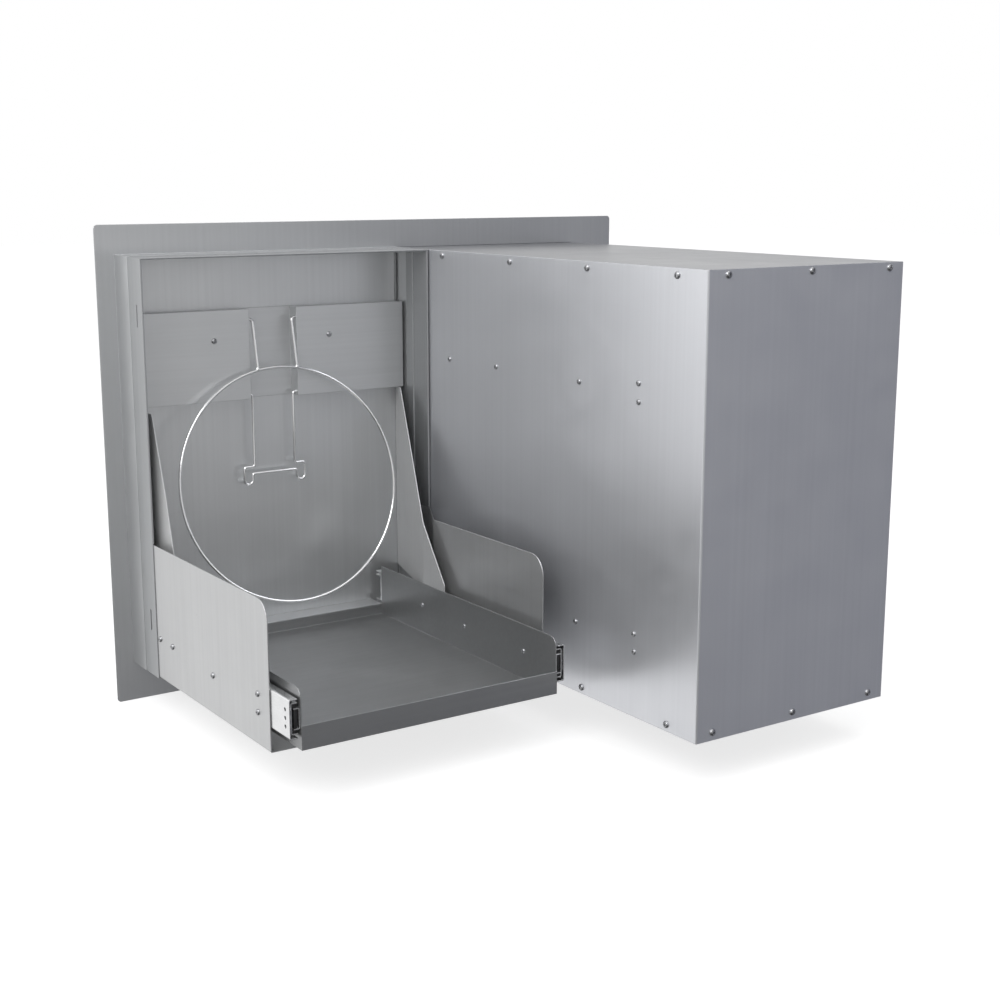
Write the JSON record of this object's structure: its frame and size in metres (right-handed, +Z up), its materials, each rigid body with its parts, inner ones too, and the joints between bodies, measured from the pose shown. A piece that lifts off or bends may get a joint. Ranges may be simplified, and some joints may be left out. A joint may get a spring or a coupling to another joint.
{
  "type": "trash drawer combination cabinet",
  "caption": "Stainless built-in cabinet insert for an outdoor kitchen: flanged face, pull-out refuse tray with a swing-up bag ring and wire prop, and a closed box with two drawers.",
  "frame": {"origin": "middle of the bottom border of the face flange, on its back face", "axes": "+X across the flange towards the refuse bay's outer side, +Y into the cabinet, away from the fronts, +Z up"},
  "size_m": [0.8228, 0.7263, 0.6318],
  "materials": {
    "brushed_steel": "brushed",
    "liner_steel": "brushed, duller",
    "zinc_steel": "bright zinc plate",
    "chrome_wire": "polished",
    "polished_steel": "polished"
  },
  "bodies": {
    "cabinet": {"face_flange": "brushed_steel", "trash_sleeve": "brushed_steel", "box_wrap": "brushed_steel", "box_top_panel": "brushed_steel", "box_bottom_panel": "brushed_steel", "left_side_plate": "brushed_steel", "right_side_plate": "brushed_steel", "trash_slide_left_outer": "zinc_steel", "trash_slide_right_outer": "zinc_steel", "upper_slide_left_outer": "zinc_steel", "upper_slide_right_outer": "zinc_steel", "lower_slide_left_outer": "zinc_steel", "lower_slide_right_outer": "zinc_steel", "left_plate_screw_1": "polished_steel", "left_plate_screw_2": "polished_steel", "left_plate_screw_3": "polished_steel", "left_plate_screw_4": "polished_steel", "left_plate_screw_5": "polished_steel"},
    "trash_slides_middle": {"trash_slide_left_middle": "zinc_steel", "trash_slide_right_middle": "zinc_steel"},
    "upper_slides_middle": {"upper_slide_left_middle": "zinc_steel", "upper_slide_right_middle": "zinc_steel"},
    "lower_slides_middle": {"lower_slide_left_middle": "zinc_steel", "lower_slide_right_middle": "zinc_steel"},
    "trash_drawer": {"trash_front_skin": "brushed_steel", "trash_front_liner": "liner_steel", "hanger_rail": "liner_steel", "left_gusset": "liner_steel", "right_gusset": "liner_steel", "lower_rail": "liner_steel", "tray": "liner_steel", "trash_slide_left_inner": "zinc_steel", "trash_slide_right_inner": "zinc_steel", "trash_handle_bar": "polished_steel", "trash_handle_post_left": "polished_steel", "trash_handle_post_right": "polished_steel", "hanger_screw_1": "polished_steel", "hanger_screw_2": "polished_steel"},
    "bag_ring": {"bag_ring": "chrome_wire"},
    "ring_prop": {"ring_prop": "chrome_wire"},
    "upper_drawer": {"upper_front_skin": "brushed_steel", "upper_front_liner": "liner_steel", "upper_drawer_box": "liner_steel", "upper_slide_left_inner": "zinc_steel", "upper_slide_right_inner": "zinc_steel", "upper_handle_bar": "polished_steel", "upper_handle_post_left": "polished_steel", "upper_handle_post_right": "polished_steel"},
    "lower_drawer": {"lower_front_skin": "brushed_steel", "lower_front_liner": "liner_steel", "lower_drawer_box": "liner_steel", "lower_slide_left_inner": "zinc_steel", "lower_slide_right_inner": "zinc_steel", "lower_handle_bar": "polished_steel", "lower_handle_post_left": "polished_steel", "lower_handle_post_right": "polished_steel"}
  },
  "joints": [
    {"name": "trash_pull", "type": "slide", "parent": "cabinet", "child": "trash_drawer", "axis": [0, -1, 0], "range_m": [0, 0.45]},
    {"name": "trash_middle_run", "type": "slide", "parent": "cabinet", "child": "trash_slides_middle", "axis": [0, -1, 0], "range_m": [0, 0.225]},
    {"name": "upper_pull", "type": "slide", "parent": "cabinet", "child": "upper_drawer", "axis": [0, -1, 0], "range_m": [0, 0.55]},
    {"name": "upper_middle_run", "type": "slide", "parent": "cabinet", "child": "upper_slides_middle", "axis": [0, -1, 0], "range_m": [0, 0.275]},
    {"name": "lower_pull", "type": "slide", "parent": "cabinet", "child": "lower_drawer", "axis": [0, -1, 0], "range_m": [0, 0.55]},
    {"name": "lower_middle_run", "type": "slide", "parent": "cabinet", "child": "lower_slides_middle", "axis": [0, -1, 0], "range_m": [0, 0.275]},
    {"name": "ring_swing", "type": "hinge", "parent": "trash_drawer", "child": "bag_ring", "pos_m": [0.1768, 0.0181, 0.4775], "axis": [1, 0, 0], "range_deg": [0, 78.3]},
    {"name": "prop_swing", "type": "hinge", "parent": "trash_drawer", "child": "ring_prop", "pos_m": [0.1768, 0.0145, 0.375], "axis": [1, 0, 0], "range_deg": [0, 143]}
  ],
  "couplings": [
    {"joint": "trash_middle_run", "follows": "trash_pull", "ratio": 0.5},
    {"joint": "upper_middle_run", "follows": "upper_pull", "ratio": 0.5},
    {"joint": "lower_middle_run", "follows": "lower_pull", "ratio": 0.5}
  ]
}
